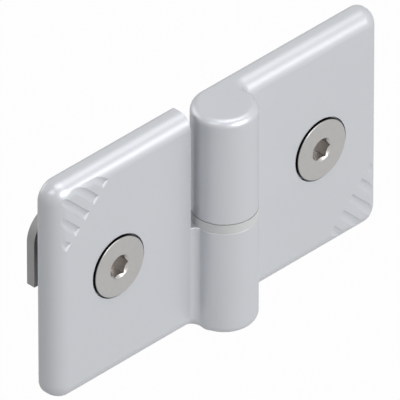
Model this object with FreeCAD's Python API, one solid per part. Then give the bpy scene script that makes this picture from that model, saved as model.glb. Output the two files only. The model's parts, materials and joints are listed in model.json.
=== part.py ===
"""Lift-off hinge for doors on slotted profile frames, in millimetres.

The origin is the centre of the frame wing's screw hole on its seating face. X runs along the
wings towards the door, Y points into the profiles and Z is up. Every piece is drawn about the
pin, with the pin's axis on Z and mid-height at 0, and is moved to the origin at the end.
"""
import FreeCAD
import Part
import math
import os

Vector = FreeCAD.Vector

# Castings
HINGE_HEIGHT = 60.0
WING_REACH = 53.4
WING_INNER_END = 9.3
WING_THICKNESS = 6.6
BARREL_RADIUS = 8.0
NECK_FILLET = 2.0
OUTLINE_CORNER = 4.9
FRONT_ROUNDING = 3.85
END_ROUNDING = 4.7
BACK_ROUNDING = 1.6
RIM_ROUNDING = 2.0
NECK_ROUNDING = 1.8
EDGE_BREAK = 0.2

# Angles round the barrel from +X, in degrees
EVEN_RIM_FROM = 205.0
EVEN_RIM_TO = 410.0
BARREL_BACK = 450.0

# Grip flutes in the outer corner of each wing
FLUTE_COUNT = 5
FLUTE_PITCH = 3.0
FLUTE_TOOL_RADIUS = 1.6
FLUTE_DEPTH = 0.55
FLUTE_LENGTH = 18.0
FIRST_FLUTE_X = -37.0
FIRST_FLUTE_Z = 25.0

# Pin, bush and thrust ring
PIN_RADIUS = 4.0
PIN_IN_FRAME_WING = 24.0
PIN_IN_DOOR_WING = 22.0
PIN_POINT = 1.2
RUNNING_CLEARANCE = 0.05
BUSH_WALL = 1.0
BUSH_LENGTH = 23.5
BUSH_BORE_DEPTH = 24.0
BUSH_LEAD_IN = 0.3
RING_THICKNESS = 2.5

# Countersunk socket screws and their holes
SCREW_TO_PIN = 33.0
SCREW_RADIUS = 4.0
SCREW_LENGTH = 20.0
SCREW_POINT = 0.7
HEAD_RADIUS = 7.9
HEAD_LAND = 0.9
HEAD_PROUD = 0.5
HEAD_EDGE_BREAK = 0.2
SOCKET_ACROSS_FLATS = 5.0
SOCKET_DEPTH = 3.2
SOCKET_MOUTH_RADIUS = 3.1
RECESS_RADIUS = 8.3
RECESS_DEPTH = 1.4
SCREW_HOLE_RADIUS = 4.5

# Slot nuts, and the lugs that keep the wings in line with the slot
SLOT_FILL = 9.8
NUT_HALF_LENGTH = 10.35
NUT_HALF_WIDTH = 9.55
NUT_CORNER = 7.4
NUT_FLANGE = 2.4
NUT_COLLAR = 5.0
COLLAR_HALF_LENGTH = 6.2
COLLAR_CORNER = 3.0
LUG_HEIGHT = 1.8
LUG_NEAR = 13.0
LUG_FAR = 23.0
LUG_CORNER = 1.5
LUG_CHAMFER = 0.5

# Places that follow from the sizes above
HALF_HEIGHT = HINGE_HEIGHT / 2
BACK_Y = BARREL_RADIUS
FRONT_Y = BACK_Y - WING_THICKNESS
BARREL_END_Z = -RING_THICKNESS / 2
HEAD_TOP_Y = FRONT_Y - HEAD_PROUD
SCREW_END_Y = HEAD_TOP_Y + SCREW_LENGTH
PIN_TO_ORIGIN = Vector(SCREW_TO_PIN, -BARREL_RADIUS, 0)

# Points closer than this are one place, and a cut or a joined block runs this far past a face
SAME_PLACE = 0.01
OVERLAP = 1.0


def line(start, end):
    """A straight edge."""
    return Part.LineSegment(start, end).toShape()


def arc(start, middle, end):
    """A round edge through three points."""
    return Part.Arc(start, middle, end).toShape()


def box(low, high):
    """A box between its lowest and highest corners."""
    size = high - low
    return Part.makeBox(size.x, size.y, size.z, low)


def turned_about_z(points):
    """A turned piece on the pin's axis, from (radius, height) points."""
    corners = [Vector(radius, 0, height) for radius, height in points]
    face = Part.Face(Part.makePolygon(corners + corners[:1]))
    return face.revolve(Vector(0, 0, 0), Vector(0, 0, 1), 360)


def turned_about_y(points):
    """A turned piece on a screw's axis, from (radius, depth) points."""
    corners = [Vector(radius, depth, 0) for radius, depth in points]
    face = Part.Face(Part.makePolygon(corners + corners[:1]))
    return face.revolve(Vector(0, 0, 0), Vector(0, 1, 0), 360)


def on_barrel(degrees):
    """A point on the barrel's circle at the frame wing's lower end, measured from +X."""
    angle = math.radians(degrees)
    return Vector(BARREL_RADIUS * math.cos(angle), BARREL_RADIUS * math.sin(angle), -HALF_HEIGHT)


def barrel_arc(start, end):
    """The barrel's round edge from one angle to another, in degrees from +X."""
    return arc(on_barrel(start), on_barrel((start + end) / 2), on_barrel(end))


def neck_centre():
    """The centre of the concave arc that touches the wing's front plane and the barrel."""
    y = FRONT_Y - NECK_FILLET
    return Vector(-math.sqrt((BARREL_RADIUS + NECK_FILLET)**2 - y**2), y, -HALF_HEIGHT)


def neck_ends():
    """Where the concave arc leaves the wing's front plane, and where it meets the barrel."""
    centre = neck_centre()
    share = BARREL_RADIUS / (BARREL_RADIUS + NECK_FILLET)
    foot = Vector(centre.x, FRONT_Y, -HALF_HEIGHT)
    touch = Vector(centre.x * share, centre.y * share, -HALF_HEIGHT)
    return foot, touch


def plan_outline():
    """The frame wing seen from above: plate, concave neck and barrel in one closed wire. Between
    the two marked angles the barrel's rim keeps one rounding, and outside them it changes."""
    foot, touch = neck_ends()
    touch_angle = math.degrees(math.atan2(touch.y, touch.x)) % 360
    lean = NECK_FILLET * math.sqrt(0.5)
    outer_front = Vector(-WING_REACH, FRONT_Y, -HALF_HEIGHT)
    outer_back = Vector(-WING_REACH, BACK_Y, -HALF_HEIGHT)
    neck_back = Vector(-WING_INNER_END, BACK_Y, -HALF_HEIGHT)
    return Part.Wire([
        line(outer_front, foot),
        arc(foot, neck_centre() + Vector(lean, lean, 0), touch),
        barrel_arc(touch_angle, EVEN_RIM_FROM),
        barrel_arc(EVEN_RIM_FROM, EVEN_RIM_TO),
        barrel_arc(EVEN_RIM_TO, BARREL_BACK),
        line(on_barrel(BARREL_BACK), neck_back),
        line(neck_back, outer_back),
        line(outer_back, outer_front),
    ])


def casting_blank():
    """The wing with sharp outer edges: a barrel and neck up to the ring, and the plate beside."""
    below_ring = Part.Face(plan_outline()).extrude(Vector(0, 0, HALF_HEIGHT + BARREL_END_Z))
    top_rim = [edge for edge in below_ring.Edges if edge.BoundBox.ZMin > BARREL_END_Z - SAME_PLACE]
    below_ring = below_ring.makeChamfer(EDGE_BREAK, top_rim)
    plate = box(
        Vector(-WING_REACH, FRONT_Y, -HALF_HEIGHT),
        Vector(-WING_INNER_END, BACK_Y, HALF_HEIGHT),
    )
    blank = below_ring.fuse(plate).removeSplitter().Solids[0]
    corners = [
        edge for edge in blank.Edges
        if edge.BoundBox.XMax < SAME_PLACE - WING_REACH and edge.BoundBox.YLength > SAME_PLACE
    ]
    return blank.makeFillet(OUTLINE_CORNER, corners)


def outside_rounding(point):
    """The rounding at a corner of the outline. It narrows from the wing's front to the barrel."""
    touch = neck_ends()[1]
    if abs(point.y - BACK_Y) < SAME_PLACE:
        return BACK_ROUNDING
    if abs(point.x + WING_REACH) < SAME_PLACE:
        return END_ROUNDING
    if abs(point.y - FRONT_Y) < SAME_PLACE:
        return FRONT_ROUNDING
    if abs(point.x - touch.x) < SAME_PLACE:
        return NECK_ROUNDING
    return RIM_ROUNDING


def round_outside(blank):
    """Round the edges of the wing's front and back and of the barrel's closed end in one blend."""
    document = FreeCAD.newDocument("blend")
    base = document.addObject("Part::Feature", "Blank")
    base.Shape = blank
    blend = document.addObject("Part::Fillet", "Blend")
    blend.Base = base
    rows = []
    for number, edge in enumerate(base.Shape.Edges, start=1):
        start, middle, end = (
            edge.valueAt(edge.FirstParameter * (1 - share) + edge.LastParameter * share)
            for share in (0, 0.5, 1)
        )
        on_end = abs(abs(middle.z) - HALF_HEIGHT) < SAME_PLACE
        on_side = middle.x < OUTLINE_CORNER - WING_REACH
        straight = edge.Curve.TypeId == "Part::GeomLine"
        across = straight and abs(start.y - end.y) > SAME_PLACE
        if (on_end or on_side) and not across:
            rows.append((number, outside_rounding(start), outside_rounding(end)))
    blend.Edges = rows
    document.recompute()
    shape = blend.Shape.copy()
    FreeCAD.closeDocument(document.Name)
    return shape.removeSplitter()


def break_inner_end(shape):
    """Take the sharpness off the end of the wing above the barrel."""
    end_edges = [
        edge for edge in shape.Edges
        if edge.BoundBox.ZMax > 0
        and abs(edge.BoundBox.XMin + WING_INNER_END) < SAME_PLACE
        and abs(edge.BoundBox.XMax + WING_INNER_END) < SAME_PLACE
    ]
    return shape.makeChamfer(EDGE_BREAK, end_edges)


def flute(index):
    """A flat-ended rod that runs out through the wing's corner at 45 degrees."""
    start = Vector(
        FIRST_FLUTE_X - FLUTE_PITCH * index,
        FRONT_Y - FLUTE_TOOL_RADIUS + FLUTE_DEPTH,
        FIRST_FLUTE_Z - FLUTE_PITCH * index,
    )
    return Part.makeCylinder(FLUTE_TOOL_RADIUS, FLUTE_LENGTH, start, Vector(-1, 0, 1))


def screw_hole():
    """A recess, a 90 degree countersink and a through hole on the Y axis."""
    cone_start = HEAD_LAND - HEAD_PROUD
    seat_radius = HEAD_RADIUS - (RECESS_DEPTH - cone_start)
    cone_end = RECESS_DEPTH + seat_radius - SCREW_HOLE_RADIUS
    return turned_about_y([
        (0, FRONT_Y - OVERLAP),
        (RECESS_RADIUS, FRONT_Y - OVERLAP),
        (RECESS_RADIUS, FRONT_Y + RECESS_DEPTH),
        (seat_radius, FRONT_Y + RECESS_DEPTH),
        (SCREW_HOLE_RADIUS, FRONT_Y + cone_end),
        (SCREW_HOLE_RADIUS, BACK_Y + OVERLAP),
        (0, BACK_Y + OVERLAP),
    ])


def lug(bottom_z):
    """A low block on the wing's back that fits the profile's slot."""
    block = box(
        Vector(-SLOT_FILL / 2, BACK_Y - OVERLAP, bottom_z),
        Vector(SLOT_FILL / 2, BACK_Y + LUG_HEIGHT, bottom_z + LUG_FAR - LUG_NEAR),
    )
    uprights = [edge for edge in block.Edges if edge.BoundBox.YLength > SAME_PLACE]
    block = block.makeFillet(LUG_CORNER, uprights)
    rim = [edge for edge in block.Edges if edge.BoundBox.YMin > BACK_Y + LUG_HEIGHT - SAME_PLACE]
    return block.makeChamfer(LUG_CHAMFER, rim)


def casting(bore_radius, bore_depth):
    """The frame wing about the pin, with a blind bore in its barrel."""
    wing = break_inner_end(round_outside(casting_blank()).Solids[0])
    at_screw = Vector(-SCREW_TO_PIN, 0, 0)
    for bottom_z in (LUG_NEAR, -LUG_FAR):
        wing = wing.fuse(lug(bottom_z).translate(at_screw))
    wing = wing.cut(screw_hole().translate(at_screw))
    for index in range(FLUTE_COUNT):
        wing = wing.cut(flute(index))
    bore_floor = Vector(0, 0, BARREL_END_Z - bore_depth)
    wing = wing.cut(Part.makeCylinder(bore_radius, bore_depth + OVERLAP, bore_floor))
    return wing.removeSplitter().Solids[0]


def frame_wing():
    """The lower casting, bored for the pressed pin."""
    return casting(PIN_RADIUS, PIN_IN_FRAME_WING)


def door_wing():
    """The upper casting: the same form turned half round, bored for the bush."""
    wing = casting(PIN_RADIUS + RUNNING_CLEARANCE + BUSH_WALL, BUSH_BORE_DEPTH)
    return wing.rotate(Vector(0, 0, 0), Vector(0, 1, 0), 180)


def hinge_pin():
    """A ground pin, bevelled at the top so that the door wing finds it."""
    foot = BARREL_END_Z - PIN_IN_FRAME_WING
    top = PIN_IN_DOOR_WING - BARREL_END_Z
    return turned_about_z([
        (0, foot),
        (PIN_RADIUS, foot),
        (PIN_RADIUS, top - PIN_POINT),
        (PIN_RADIUS - PIN_POINT, top),
        (0, top),
    ])


def thrust_ring():
    """The flat ring on the pin that carries the door wing."""
    inner = PIN_RADIUS + RUNNING_CLEARANCE
    return turned_about_z([
        (inner, BARREL_END_Z),
        (BARREL_RADIUS, BARREL_END_Z),
        (BARREL_RADIUS, -BARREL_END_Z),
        (inner, -BARREL_END_Z),
    ])


def pin_bush():
    """The plain sleeve pressed into the door wing's barrel."""
    inner = PIN_RADIUS + RUNNING_CLEARANCE
    outer = inner + BUSH_WALL
    foot = -BARREL_END_Z
    return turned_about_z([
        (inner + BUSH_LEAD_IN, foot),
        (outer, foot),
        (outer, foot + BUSH_LENGTH),
        (inner, foot + BUSH_LENGTH),
        (inner, foot + BUSH_LEAD_IN),
    ])


def hexagon_socket():
    """The six-sided key hole with its bevelled mouth, corners on the X axis."""
    corner_radius = SOCKET_ACROSS_FLATS / math.sqrt(3)
    corners = [
        Vector(
            corner_radius * math.cos(math.radians(60 * side)),
            HEAD_TOP_Y - OVERLAP,
            corner_radius * math.sin(math.radians(60 * side)),
        )
        for side in range(7)
    ]
    prism = Part.Face(Part.makePolygon(corners)).extrude(Vector(0, SOCKET_DEPTH + OVERLAP, 0))
    mouth = turned_about_y([
        (0, HEAD_TOP_Y - OVERLAP),
        (SOCKET_MOUTH_RADIUS + OVERLAP, HEAD_TOP_Y - OVERLAP),
        (0, HEAD_TOP_Y + SOCKET_MOUTH_RADIUS),
    ])
    return prism.fuse(mouth)


def countersunk_screw():
    """A countersunk socket screw on the Y axis, its head a little proud of the wing."""
    cone_end_y = HEAD_TOP_Y + HEAD_LAND + HEAD_RADIUS - SCREW_RADIUS
    body = turned_about_y([
        (0, HEAD_TOP_Y),
        (HEAD_RADIUS - HEAD_EDGE_BREAK, HEAD_TOP_Y),
        (HEAD_RADIUS, HEAD_TOP_Y + HEAD_EDGE_BREAK),
        (HEAD_RADIUS, HEAD_TOP_Y + HEAD_LAND),
        (SCREW_RADIUS, cone_end_y),
        (SCREW_RADIUS, SCREW_END_Y - SCREW_POINT),
        (SCREW_RADIUS - SCREW_POINT, SCREW_END_Y),
        (0, SCREW_END_Y),
    ])
    return body.cut(hexagon_socket()).Solids[0]


def nut_outline():
    """The nut's flange: two square corners and two round ones, opposite each other."""
    left, top = -NUT_HALF_LENGTH, NUT_HALF_WIDTH
    lean = NUT_CORNER * (1 - math.sqrt(0.5))
    half = [
        Vector(left, SCREW_END_Y, -top),
        Vector(left, SCREW_END_Y, top - NUT_CORNER),
        Vector(left + lean, SCREW_END_Y, top - lean),
        Vector(left + NUT_CORNER, SCREW_END_Y, top),
    ]
    other = [Vector(-point.x, point.y, -point.z) for point in half]
    return Part.Wire([
        line(half[0], half[1]),
        arc(half[1], half[2], half[3]),
        line(half[3], other[0]),
        line(other[0], other[1]),
        arc(other[1], other[2], other[3]),
        line(other[3], half[0]),
    ])


def slot_nut():
    """A slot nut on the Y axis: a flat flange behind the slot's lips, a collar between them."""
    flange_y = SCREW_END_Y - NUT_FLANGE
    flange = Part.Face(nut_outline()).extrude(Vector(0, -NUT_FLANGE, 0))
    collar = box(
        Vector(-SLOT_FILL / 2, flange_y - NUT_COLLAR, -COLLAR_HALF_LENGTH),
        Vector(SLOT_FILL / 2, flange_y + OVERLAP, COLLAR_HALF_LENGTH),
    )
    round_corners = [
        edge for edge in collar.Edges
        if edge.BoundBox.YLength > SAME_PLACE and edge.BoundBox.XMin * edge.BoundBox.ZMin < 0
    ]
    collar = collar.makeFillet(COLLAR_CORNER, round_corners)
    thread = Part.makeCylinder(
        SCREW_RADIUS,
        2 * SCREW_LENGTH,
        Vector(0, 0, 0),
        Vector(0, 1, 0),
    )
    return flange.fuse(collar).cut(thread).removeSplitter().Solids[0]


def pieces():
    """Every piece by name, in place about the pin."""
    at_frame_screw = Vector(-SCREW_TO_PIN, 0, 0)
    at_door_screw = Vector(SCREW_TO_PIN, 0, 0)
    return {
        "frame_wing": frame_wing(),
        "hinge_pin": hinge_pin(),
        "thrust_ring": thrust_ring(),
        "door_wing": door_wing(),
        "pin_bush": pin_bush(),
        "frame_screw": countersunk_screw().translate(at_frame_screw),
        "door_screw": countersunk_screw().translate(at_door_screw),
        "frame_slot_nut": slot_nut().translate(at_frame_screw),
        "door_slot_nut": slot_nut().translate(at_door_screw),
    }


os.makedirs("parts", exist_ok=True)
for name, shape in pieces().items():
    shape.translate(PIN_TO_ORIGIN)
    shape.exportStep(f"parts/{name}.step")
    print(name, shape.ShapeType, "valid", shape.isValid(), "volume", round(shape.Volume, 1))
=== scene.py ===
import bpy
import json
import numpy as np
from mathutils import Matrix, Vector


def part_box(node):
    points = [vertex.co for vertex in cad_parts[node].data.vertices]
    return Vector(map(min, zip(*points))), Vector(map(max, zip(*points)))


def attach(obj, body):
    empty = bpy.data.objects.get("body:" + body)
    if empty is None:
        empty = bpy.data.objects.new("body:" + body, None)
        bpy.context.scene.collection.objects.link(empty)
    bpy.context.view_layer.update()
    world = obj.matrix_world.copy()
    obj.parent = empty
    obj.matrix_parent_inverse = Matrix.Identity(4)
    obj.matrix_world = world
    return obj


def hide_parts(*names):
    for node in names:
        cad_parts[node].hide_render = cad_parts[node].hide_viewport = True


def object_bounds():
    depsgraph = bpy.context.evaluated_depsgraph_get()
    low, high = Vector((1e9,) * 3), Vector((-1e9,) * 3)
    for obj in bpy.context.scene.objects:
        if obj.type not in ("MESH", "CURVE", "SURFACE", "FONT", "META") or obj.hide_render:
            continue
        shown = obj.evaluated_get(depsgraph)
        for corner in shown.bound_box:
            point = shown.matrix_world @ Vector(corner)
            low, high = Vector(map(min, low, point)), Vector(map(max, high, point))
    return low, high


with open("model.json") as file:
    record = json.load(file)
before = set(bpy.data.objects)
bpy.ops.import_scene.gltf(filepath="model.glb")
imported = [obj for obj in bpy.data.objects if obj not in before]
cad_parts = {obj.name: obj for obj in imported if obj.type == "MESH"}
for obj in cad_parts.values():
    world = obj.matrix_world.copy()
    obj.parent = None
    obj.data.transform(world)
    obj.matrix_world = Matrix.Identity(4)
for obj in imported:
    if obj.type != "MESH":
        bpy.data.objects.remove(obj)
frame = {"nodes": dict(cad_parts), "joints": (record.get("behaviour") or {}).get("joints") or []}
cad_low, cad_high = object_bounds()


# The frame wing
# A die-cast aluminium plate, neck and barrel in one piece, with a smooth silver-grey coat.
# It is screwed to the frame's upright profile and carries the pin, and it never moves.

MM = 0.001
WELD = 0.002 * MM
CREASE = np.radians(30)
SILVER = (0.615, 0.63, 0.658, 1)
SILVER_SHADE = (0.59, 0.605, 0.634, 1)
CLOUD_SIZE = 14 * MM
SKIN_SIZE = 0.9 * MM
SKIN_DEPTH = 0.006 * MM
FLAKE_SIZE = 0.16 * MM
CLOUD_SHARE = 0.6
SKIN_SHARE = 0.85
COAT_METAL = 0.35
COAT_ROUGHNESS = 0.32
CLOUD_ROUGHNESS = 0.04
FLAKE_ROUGHNESS = 0.05
FRONT_DEPTH = 1.4 * MM
FLUTE_DEPTH = 0.55 * MM
FLUTE_OUT = 37 * MM
FLUTE_UP = 25 * MM
FLUTE_END = (FLUTE_OUT + FLUTE_UP) / np.sqrt(2)
FLUTE_LEAN = np.radians(20)
IN_ONE_PLANE = 0.01 * MM

pin_place = np.array(frame["joints"][0]["pos_m"])


class Signal:
    """One output of a shader node. Arithmetic on it adds Math nodes to its material."""

    def __init__(self, tree, socket=None):
        self.tree = tree
        self.socket = socket

    def node(self, kind, settings, sockets, output=0):
        """A new node: its settings are set first, then the values or links of its sockets."""
        made = self.tree.nodes.new(kind)
        for name, value in settings.items():
            setattr(made, name, value)
        for name, value in sockets.items():
            if isinstance(value, Signal):
                self.tree.links.new(value.socket, made.inputs[name])
            else:
                made.inputs[name].default_value = value
        return Signal(self.tree, None if output is None else made.outputs[output])

    def maths(self, operation, first, second):
        return self.node("ShaderNodeMath", {"operation": operation}, {0: first, 1: second})

    def __add__(self, other):
        return self.maths("ADD", self, other)

    __radd__ = __add__

    def __sub__(self, other):
        return self.maths("SUBTRACT", self, other)

    def __rsub__(self, other):
        return self.maths("SUBTRACT", other, self)

    def __mul__(self, other):
        return self.maths("MULTIPLY", self, other)

    __rmul__ = __mul__

    def __or__(self, other):
        """The larger of the two."""
        return self.maths("MAXIMUM", self, other)

    def __gt__(self, other):
        """1 where this one is greater and 0 elsewhere."""
        return self.maths("GREATER_THAN", self, other)


def new_material(name):
    """A material with no nodes yet, the signal that its nodes start from, and its own place."""
    material = bpy.data.materials.new(name)
    material.use_nodes = True
    material.node_tree.nodes.clear()
    start = Signal(material.node_tree)
    place = start.node("ShaderNodeTexCoord", {}, {}, "Object")
    return material, start, place


def noise(place, size, detail=2.0):
    """Even noise from 0 to 1 whose lumps are about this size."""
    sockets = {"Vector": place, "Scale": 1 / size, "Detail": detail}
    return place.node("ShaderNodeTexNoise", {}, sockets, "Fac")


def blend_colours(share, low, high):
    """From the low colour at 0 to the high colour at 1."""
    sockets = {"Factor": share, "A": low, "B": high}
    return share.node("ShaderNodeMix", {"data_type": "RGBA"}, sockets, "Result")


def relief(height, depth):
    """The surface's normal with this height pattern, its full range being this depth."""
    return height.node("ShaderNodeBump", {}, {"Height": height, "Strength": 1.0, "Distance": depth})


def finish_material(start, sockets):
    """Join a Principled shader with these sockets to the material's output."""
    shader = start.node("ShaderNodeBsdfPrincipled", {}, sockets)
    start.node("ShaderNodeOutputMaterial", {}, {"Surface": shader}, None)


def smooth_copy(node, name):
    """The node's own surface with its doubled points joined: coordinates are rounded to the weld
    distance, equal ones become one point, and triangles that lose a corner are dropped. Shading is
    smooth up to the crease angle, and flat faces count most where they meet round ones."""
    source = frame["nodes"][node].data
    points = np.empty(len(source.vertices) * 3)
    source.vertices.foreach_get("co", points)
    points = points.reshape(-1, 3)
    corners = np.empty(len(source.loops), np.int64)
    source.loops.foreach_get("vertex_index", corners)
    cells = np.round(points / WELD).astype(np.int64)
    _, first, joined = np.unique(cells, axis=0, return_index=True, return_inverse=True)
    triangles = joined.reshape(-1)[corners].reshape(-1, 3)
    whole = np.all(triangles != np.roll(triangles, 1, axis=1), axis=1)
    mesh = bpy.data.meshes.new(name)
    mesh.from_pydata(points[first], [], triangles[whole])
    mesh.shade_smooth()
    mesh.set_sharp_from_angle(angle=CREASE)
    piece = bpy.data.objects.new(name, mesh)
    bpy.context.scene.collection.objects.link(piece)
    even = piece.modifiers.new("even_shading", "WEIGHTED_NORMAL")
    even.keep_sharp = True
    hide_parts(node)
    return piece


def lean_flute_ends(piece, side):
    """The flutes' square ends lie in one plane across the corner's diagonal, at the first flute's
    place out and up from the pin. A point of theirs moves along its flute by its depth below the
    front times the tangent of the lean, so that the ends open outwards, as a die needs. Side is 1 at
    the upper left corner and -1 at the lower right one."""
    points = np.empty(len(piece.data.vertices) * 3)
    piece.data.vertices.foreach_get("co", points)
    points = points.reshape(-1, 3)
    along = side * np.array((-1, 0, 1)) / np.sqrt(2)
    from_pin = points - pin_place
    depth = from_pin[:, 1] - FRONT_DEPTH
    in_plane = np.abs(from_pin @ along - FLUTE_END) < IN_ONE_PLANE
    moved = in_plane & (depth > WELD) & (depth < FLUTE_DEPTH + WELD)
    points[moved] += depth[moved, None] * np.tan(FLUTE_LEAN) * along
    piece.data.vertices.foreach_set("co", points.reshape(-1))
    piece.data.update()


def silver_coat():
    """A satin coat: faint clouds of tone, fine flakes, and the shallow ripple of a sprayed skin."""
    material, start, place = new_material("silver_coat")
    clouds = noise(place, CLOUD_SIZE)
    flakes = noise(place, FLAKE_SIZE, detail=1.0)
    skin = noise(place, SKIN_SIZE, detail=1.0)
    tone = CLOUD_SHARE * clouds + (1 - CLOUD_SHARE) * flakes
    finish_material(start, {
        "Base Color": blend_colours(tone, SILVER_SHADE, SILVER),
        "Roughness": COAT_ROUGHNESS + CLOUD_ROUGHNESS * clouds + FLAKE_ROUGHNESS * flakes,
        "Metallic": COAT_METAL,
        "Specular IOR Level": 0.0,
        "Normal": relief(SKIN_SHARE * skin + (1 - SKIN_SHARE) * flakes, SKIN_DEPTH),
    })
    return material


coat = silver_coat()
frame_wing = smooth_copy("frame_wing", "frame_wing_coated")
lean_flute_ends(frame_wing, 1)
frame_wing.data.materials.append(coat)
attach(frame_wing, "frame_side")


# The hinge pin
# A ground stainless pin, pressed into the frame wing's barrel and free in the door wing's bush.
# Only the lifted door shows it.

PIN_TONE = (0.6, 0.6, 0.6, 1)
PIN_TONE_DARK = (0.53, 0.53, 0.54, 1)
GRINDING_PITCH = 0.09 * MM
GRINDING_LENGTH = 9 * MM
GRINDING_DEPTH = 0.003 * MM
PIN_ROUGHNESS = 0.2
MARK_ROUGHNESS = 0.14


def ground_steel():
    """Ground steel: fine marks round the pin, short along it and long across it."""
    material, start, place = new_material("ground_steel")
    stretch = (1 / GRINDING_LENGTH, 1 / GRINDING_LENGTH, 1 / GRINDING_PITCH)
    along = place.node("ShaderNodeMapping", {}, {"Vector": place, "Scale": stretch})
    marks = noise(along, 1.0, detail=3.0)
    finish_material(start, {
        "Base Color": blend_colours(marks, PIN_TONE_DARK, PIN_TONE),
        "Roughness": PIN_ROUGHNESS + MARK_ROUGHNESS * marks,
        "Metallic": 1.0,
        "Normal": relief(marks, GRINDING_DEPTH),
    })
    return material


pin = smooth_copy("hinge_pin", "hinge_pin_ground")
pin.data.materials.append(ground_steel())
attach(pin, "frame_side")


# The thrust ring
# A flat ring moulded in grey plastic. It lies on the frame wing's barrel, round the pin, and
# the door wing turns on it.

RING_GREY = (0.645, 0.66, 0.656, 1)
RING_GREY_DARK = (0.605, 0.62, 0.618, 1)
# Painted shade: the dark line of the seam gap round the top edge of the ring and the bush.
PAINTED_SEAM_SHADE = (0.3, 0.305, 0.31, 1)
SEAM_WIDTH = 0.12 * MM
GRAIN_SIZE = 0.22 * MM
GRAIN_DEPTH = 0.01 * MM
PLASTIC_ROUGHNESS = 0.46
GRAIN_ROUGHNESS = 0.12


def moulded_plastic(node, name, dark, light):
    """Matt moulded plastic: one tone with a fine spark-eroded grain. A narrow line round its top edge
    is painted dark, as painted shade of the seam under the casting above, which turns on it."""
    material, start, place = new_material(name)
    grain = noise(place, GRAIN_SIZE)
    low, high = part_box(node)
    height = place.node("ShaderNodeSeparateXYZ", {}, {"Vector": place}, "Z")
    near_top = height.node("ShaderNodeMapRange", {}, {
        "Value": height, "From Min": high.z - SEAM_WIDTH, "From Max": high.z - SEAM_WIDTH / 2,
    })
    level = {"Vector": place, "Location": (-pin_place[0], -pin_place[1], 0), "Scale": (1, 1, 0)}
    from_axis = place.node("ShaderNodeMapping", {}, level)
    radius = from_axis.node("ShaderNodeVectorMath", {"operation": "LENGTH"}, {0: from_axis}, "Value")
    outside = radius > (high.x - low.x) / 2 - SEAM_WIDTH
    plain = blend_colours(grain, dark, light)
    finish_material(start, {
        # Painted shade of the seam gap, painted only near the top and at the outside.
        "Base Color": blend_colours(near_top * outside, plain, PAINTED_SEAM_SHADE),
        "Roughness": PLASTIC_ROUGHNESS + GRAIN_ROUGHNESS * grain,
        "Metallic": 0.0,
        "Normal": relief(grain, GRAIN_DEPTH),
    })
    return material


ring = smooth_copy("thrust_ring", "thrust_ring_moulded")
ring_plastic = moulded_plastic("thrust_ring", "ring_plastic", RING_GREY_DARK, RING_GREY)
ring.data.materials.append(ring_plastic)
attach(ring, "ring")


# The bush
# A plain sleeve moulded in natural plastic. It is pressed into the door wing's barrel and turns on
# the pin.

NATURAL = (0.68, 0.66, 0.6, 1)
NATURAL_DARK = (0.62, 0.6, 0.54, 1)

bush = smooth_copy("pin_bush", "pin_bush_moulded")
bush_plastic = moulded_plastic("pin_bush", "bush_plastic", NATURAL_DARK, NATURAL)
bush.data.materials.append(bush_plastic)
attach(bush, "door_side")


# The door wing
# The same die casting as the frame wing, turned half round, with the same coat. It is screwed to
# the door's upright profile, and it swings and lifts with the door.

door_wing = smooth_copy("door_wing", "door_wing_coated")
lean_flute_ends(door_wing, -1)
door_wing.data.materials.append(coat)
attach(door_wing, "door_side")


# The countersunk screws
# M8 steel screws with a turned head and a broached six-sided socket, plated bright. One goes
# through each wing and holds its slot nut.

HEAD_LAND = 0.9 * MM
HEAD_BREAK = 0.2 * MM
SHANK_RADIUS = 4 * MM
SOCKET_FLAT = 2.5 * MM
SOCKET_MOUTH = 3.1 * MM
SOCKET_DEPTH = 3.2 * MM
SCREW_POINT = 0.7 * MM
THREAD_PITCH = 1.25 * MM
THREAD_DEPTH = 0.677 * MM
THREAD_START = 1.2 * MM
CREST_FLAT = 1 / 8
ROOT_FLAT = 1 / 4
ROUND_POINTS = 96
ROWS_PER_TURN = 12
PLATE = (0.478, 0.472, 0.466, 1)
PLATE_DARK = (0.43, 0.424, 0.418, 1)
# Painted shade: the socket's colour, darker and browner than the plate.
SOCKET_SHADE = (0.46, 0.438, 0.42, 1)
# Painted shadow: the nearly black gap down the side of the head.
HEAD_GAP_SHADOW = (0.02, 0.02, 0.02, 1)
SOCKET_SHADE_FROM = 0.05 * MM
SOCKET_SHADE_TO = 0.3 * MM
SOCKET_CLEAR = 2 * SOCKET_MOUTH
HEAD_GAP_SHADOW_FROM = 0.1 * HEAD_BREAK
HEAD_GAP_SHADOW_TO = 0.8 * HEAD_BREAK
TURNING_PITCH = 0.17 * MM
TURNING_DEPTH = 0.002 * MM
BLOTCH_SIZE = 1.1 * MM
TURNING_SHARE = 0.6
PLATE_ROUGHNESS = 0.26
BLOTCH_ROUGHNESS = 0.1
TURNING_ROUGHNESS = 0.05


def hexagon(angle):
    """The socket's radius in this direction: the flat's distance over the cosine of the angle
    from the middle of the nearest flat, with corners at 0 and every 60 degrees."""
    return SOCKET_FLAT / np.cos(np.mod(angle, np.radians(60)) - np.radians(30))


def thread_radius(depth, angle, first, last):
    """The thread's radius: crests at the shank's radius and roots a thread's depth below, with
    straight flanks, a flat eighth of a pitch at the crest and a flat quarter at the root. The
    pattern moves along by one pitch a turn, and it fades in over the first pitch."""
    turns = depth / THREAD_PITCH - angle / np.radians(360)
    from_crest = np.abs(np.mod(turns, 1) - 0.5) * 2
    fall = np.clip((from_crest - CREST_FLAT) / (1 - CREST_FLAT - ROOT_FLAT), 0, 1)
    fade = np.clip((depth - first) / THREAD_PITCH, 0, 1)
    point = np.clip(SHANK_RADIUS - (SCREW_POINT - (last - depth)), None, SHANK_RADIUS)
    return np.minimum(SHANK_RADIUS - THREAD_DEPTH * fall * fade, point)


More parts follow.
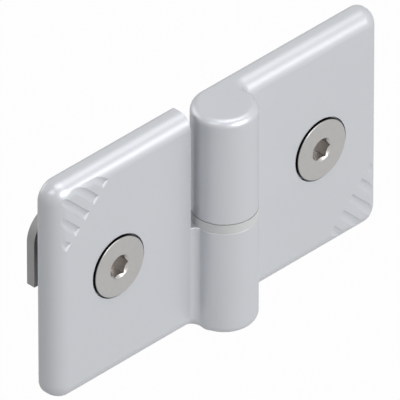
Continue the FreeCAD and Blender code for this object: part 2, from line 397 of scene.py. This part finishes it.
def closed_tube(name, points, rows, columns, ends):
    """A mesh of rows of points round an axis, joined by quads, with a point at each end."""
    index = np.arange(rows * columns).reshape(rows, columns)
    after = np.roll(index, -1, axis=1)
    quads = np.stack([index[:-1], index[1:], after[1:], after[:-1]], axis=-1).reshape(-1, 4)
    start, stop = rows * columns, rows * columns + 1
    first = np.stack([np.full(columns, start), index[0], after[0]], axis=-1)
    last = np.stack([np.full(columns, stop), after[-1], index[-1]], axis=-1)
    mesh = bpy.data.meshes.new(name)
    faces = quads.tolist() + first.tolist() + last.tolist()
    mesh.from_pydata(np.vstack([points, ends]), [], faces)
    mesh.shade_smooth()
    mesh.set_sharp_from_angle(angle=CREASE)
    piece = bpy.data.objects.new(name, mesh)
    bpy.context.scene.collection.objects.link(piece)
    return piece


def screw(node, name):
    """The whole screw as rings of points round its axis, from the socket's floor out over the head
    and down the thread to the point. Each ring has a radius and a depth for every angle, and its
    points lie at the radius times the angle's cosine and sine. The bevels of the socket's mouth and
    the head's cone fall as far as they run in."""
    low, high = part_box(node)
    axis_x, axis_z = (low.x + high.x) / 2, (low.z + high.z) / 2
    head_radius, length = (high.x - low.x) / 2, high.y - low.y
    angle = np.linspace(0, np.radians(360), ROUND_POINTS, endpoint=False)
    even = np.ones(ROUND_POINTS)
    wall = hexagon(angle)
    cone_end = HEAD_LAND + head_radius - SHANK_RADIUS
    head = [
        (wall / 2, SOCKET_DEPTH),
        (wall, SOCKET_DEPTH),
        (wall, SOCKET_DEPTH / 2),
        (wall, SOCKET_MOUTH - wall),
        (SOCKET_MOUTH, 0),
        ((SOCKET_MOUTH + head_radius) / 2, 0),
        (head_radius - HEAD_BREAK, 0),
        (head_radius, HEAD_BREAK),
        (head_radius, HEAD_LAND),
        (SHANK_RADIUS, cone_end),
    ]
    steps = int((length - cone_end) / THREAD_PITCH * ROWS_PER_TURN)
    thread_depths = np.linspace(cone_end, length, steps)[1:, None] * even
    thread = thread_radius(thread_depths, angle, cone_end + THREAD_START, length)
    radii = np.vstack([radius * even for radius, _ in head] + [thread])
    depths = np.vstack([depth * even for _, depth in head] + [thread_depths])
    points = np.stack([
        axis_x + radii * np.cos(angle),
        low.y + depths,
        axis_z + radii * np.sin(angle),
    ], axis=-1).reshape(-1, 3)
    ends = [(axis_x, low.y + SOCKET_DEPTH, axis_z), (axis_x, high.y, axis_z)]
    return closed_tube(name, points, len(radii), ROUND_POINTS, ends)


def turned_plate(node, name):
    """Bright plate over a turned face: rings round the screw's axis under small soft blotches. In the
    socket the colour is painted darker and browner as painted shade, and down the side of the head it
    is painted nearly black as painted shadow in the gap round the head."""
    material, start, place = new_material(name)
    low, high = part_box(node)
    centre = (-(low.x + high.x) / 2, 0, -(low.z + high.z) / 2)
    turned = {"Vector": place, "Location": centre, "Scale": (1, 0, 1)}
    from_axis = place.node("ShaderNodeMapping", {}, turned)
    radius = from_axis.node("ShaderNodeVectorMath", {"operation": "LENGTH"}, {0: from_axis}, "Value")
    turns = radius * (np.radians(360) / TURNING_PITCH)
    rings = 0.5 + 0.5 * turns.node("ShaderNodeMath", {"operation": "SINE"}, {0: turns})
    blotches = noise(place, BLOTCH_SIZE)
    depth = place.node("ShaderNodeSeparateXYZ", {}, {"Vector": place}, "Y") - low.y
    # Painted shade: darker deeper into the socket.
    in_socket = depth.node("ShaderNodeMapRange", {}, {
        "Value": depth, "From Min": SOCKET_SHADE_FROM, "From Max": SOCKET_SHADE_TO,
    })
    # Painted shadow: nearly black down the head's side, in the gap round it.
    down_side = depth.node("ShaderNodeMapRange", {}, {
        "Value": depth, "From Min": HEAD_GAP_SHADOW_FROM, "From Max": HEAD_GAP_SHADOW_TO,
    })
    outside = radius > SOCKET_CLEAR
    face = blend_colours(blotches, PLATE_DARK, PLATE)
    middle = blend_colours(in_socket, face, SOCKET_SHADE)
    finish_material(start, {
        "Base Color": blend_colours(outside * down_side, middle, HEAD_GAP_SHADOW),
        "Roughness": PLATE_ROUGHNESS + BLOTCH_ROUGHNESS * blotches + TURNING_ROUGHNESS * rings,
        "Metallic": 1.0,
        "Normal": relief(TURNING_SHARE * rings + (1 - TURNING_SHARE) * blotches, TURNING_DEPTH),
    })
    return material


for node, body in (("frame_screw", "frame_side"), ("door_screw", "door_side")):
    fastener = screw(node, f"{node}_threaded")
    fastener.data.materials.append(turned_plate(node, f"{node}_plate"))
    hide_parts(node)
    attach(fastener, body)


# The slot nuts
# Pressed steel nuts, plated: a flat flange with two of its corners large and round, and a collar.
# Each is run onto the end of its screw, and its flange goes behind the lips of the profile's slot.

NUT_TONE = (0.265, 0.263, 0.264, 1)
NUT_TONE_DARK = (0.215, 0.214, 0.215, 1)
PRESSING_SIZE = 0.7 * MM
PRESSING_DEPTH = 0.012 * MM
GLOSS_SIZE = 3.5 * MM
PRESSED_ROUGHNESS = 0.34
GLOSS_ROUGHNESS = 0.14


def pressed_plate():
    """Dull plate over a pressed surface: small dimples and a slightly uneven gloss."""
    material, start, place = new_material("pressed_plate")
    dimples = noise(place, PRESSING_SIZE)
    gloss = noise(place, GLOSS_SIZE)
    finish_material(start, {
        "Base Color": blend_colours(gloss, NUT_TONE_DARK, NUT_TONE),
        "Roughness": PRESSED_ROUGHNESS + GLOSS_ROUGHNESS * gloss,
        "Metallic": 1.0,
        "Normal": relief(dimples, PRESSING_DEPTH),
    })
    return material


nut_plate = pressed_plate()
for node, body in (("frame_slot_nut", "frame_side"), ("door_slot_nut", "door_side")):
    nut = smooth_copy(node, f"{node}_pressed")
    nut.data.materials.append(nut_plate)
    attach(nut, body)


# The floor, the light and the camera
# A plain pale floor well below the held hinge, soft lamps in front, above, on the left and behind,
# and a long lens that looks down at the hinge from the front left.

FLOOR_DROP = 0.25
FLOOR_REACH = 4.0
FLOOR_TONE = (0.48, 0.48, 0.48, 1)
FLOOR_WHITE = 0.98
WHITE = (1, 1, 1, 1)
SKY_STRENGTH = 0.08
LAMP_DISTANCE = 1.5
LENS = 1600
PICTURE_WIDTH = 92.3 * MM
PICTURE_RIGHT = -5.6 * MM
PICTURE_UP = 2.26 * MM


def seen_directly(start):
    """1 for rays from the camera, from a mirror or through glass, and 0 for all others."""
    camera = start.node("ShaderNodeLightPath", {}, {}, "Is Camera Ray")
    mirror = start.node("ShaderNodeLightPath", {}, {}, "Is Glossy Ray")
    glass = start.node("ShaderNodeLightPath", {}, {}, "Is Transmission Ray")
    return camera | mirror | glass


def soft_sky():
    """White to the eye and in reflections, and a plain grey light for everything else."""
    world = bpy.data.worlds.new("soft_sky")
    world.use_nodes = True
    world.node_tree.nodes.clear()
    start = Signal(world.node_tree)
    strength = SKY_STRENGTH + (1 - SKY_STRENGTH) * seen_directly(start)
    sky = start.node("ShaderNodeBackground", {}, {"Color": WHITE, "Strength": strength}, 0)
    start.node("ShaderNodeOutputWorld", {}, {"Surface": sky}, None)
    bpy.context.scene.world = world


def pale_floor(height):
    """A level sheet. Nearly all that the eye sees of it is plain white, and the rest is lit, so
    that it keeps the hinge's shadow."""
    corners = FLOOR_REACH * np.array([(-1, -1, 0), (1, -1, 0), (1, 1, 0), (-1, 1, 0)])
    mesh = bpy.data.meshes.new("floor")
    mesh.from_pydata(corners + (0, 0, height), [], [(0, 1, 2, 3)])
    floor = bpy.data.objects.new("floor", mesh)
    bpy.context.scene.collection.objects.link(floor)
    material = bpy.data.materials.new("pale_floor")
    material.use_nodes = True
    material.node_tree.nodes.clear()
    start = Signal(material.node_tree)
    lit = start.node("ShaderNodeBsdfDiffuse", {}, {"Color": FLOOR_TONE}, 0)
    white = start.node("ShaderNodeEmission", {}, {"Color": WHITE, "Strength": 1.0}, 0)
    share = FLOOR_WHITE * seen_directly(start)
    mixed = start.node("ShaderNodeMixShader", {}, {"Fac": share, 1: lit, 2: white}, 0)
    start.node("ShaderNodeOutputMaterial", {}, {"Surface": mixed}, None)
    mesh.materials.append(material)


def soft_box(name, towards, length, width, share):
    """A level oblong lamp this way from the hinge, its length running from left to right. A face
    turned to it gets this share of full light."""
    back = Vector(towards).normalized()
    up = back.cross(Vector((1, 0, 0))).normalized()
    light = bpy.data.lights.new(name, "AREA")
    light.shape = "RECTANGLE"
    light.size, light.size_y = length, width
    light.energy = share * np.pi**2 * LAMP_DISTANCE**2
    lamp = bpy.data.objects.new(name, light)
    turned = Matrix((up.cross(back), up, back)).transposed()
    lamp.matrix_world = Matrix.Translation(Vector(pin_place) + LAMP_DISTANCE * back) @ turned.to_4x4()
    bpy.context.scene.collection.objects.link(lamp)


def long_camera():
    """The eye stands back along (-1, -1, 1), which shows the three faces of a cube alike. It is so
    far away that the picture's width takes up the lens's own narrow angle."""
    right = Vector((1, -1, 0)).normalized()
    up = Vector((1, 1, 2)).normalized()
    back = right.cross(up)
    target = Vector(pin_place) + PICTURE_RIGHT * right + PICTURE_UP * up
    camera = bpy.data.cameras.new("long_camera")
    camera.lens = LENS
    distance = PICTURE_WIDTH * LENS / camera.sensor_width
    camera.clip_start, camera.clip_end = distance / 2, 4 * distance
    eye = bpy.data.objects.new("long_camera", camera)
    turned = Matrix((right, up, back)).transposed()
    eye.matrix_world = Matrix.Translation(target + distance * back) @ turned.to_4x4()
    bpy.context.scene.collection.objects.link(eye)
    bpy.context.scene.camera = eye


soft_sky()
pale_floor(cad_low.z - FLOOR_DROP)
soft_box("front_lamp", towards=(0.12, -0.89, 0.44), length=1.2, width=0.6, share=0.805)
soft_box("top_lamp", towards=(0.17, -0.07, 0.98), length=1.3, width=0.8, share=0.395)
soft_box("left_lamp", towards=(-0.7, -0.08, 0.7), length=0.42, width=0.42, share=0.11)
soft_box("back_lamp", towards=(-0.25, 0.9, 0.35), length=1.2, width=0.8, share=0.24)
long_camera()
bpy.context.scene.view_settings.view_transform = "Standard"
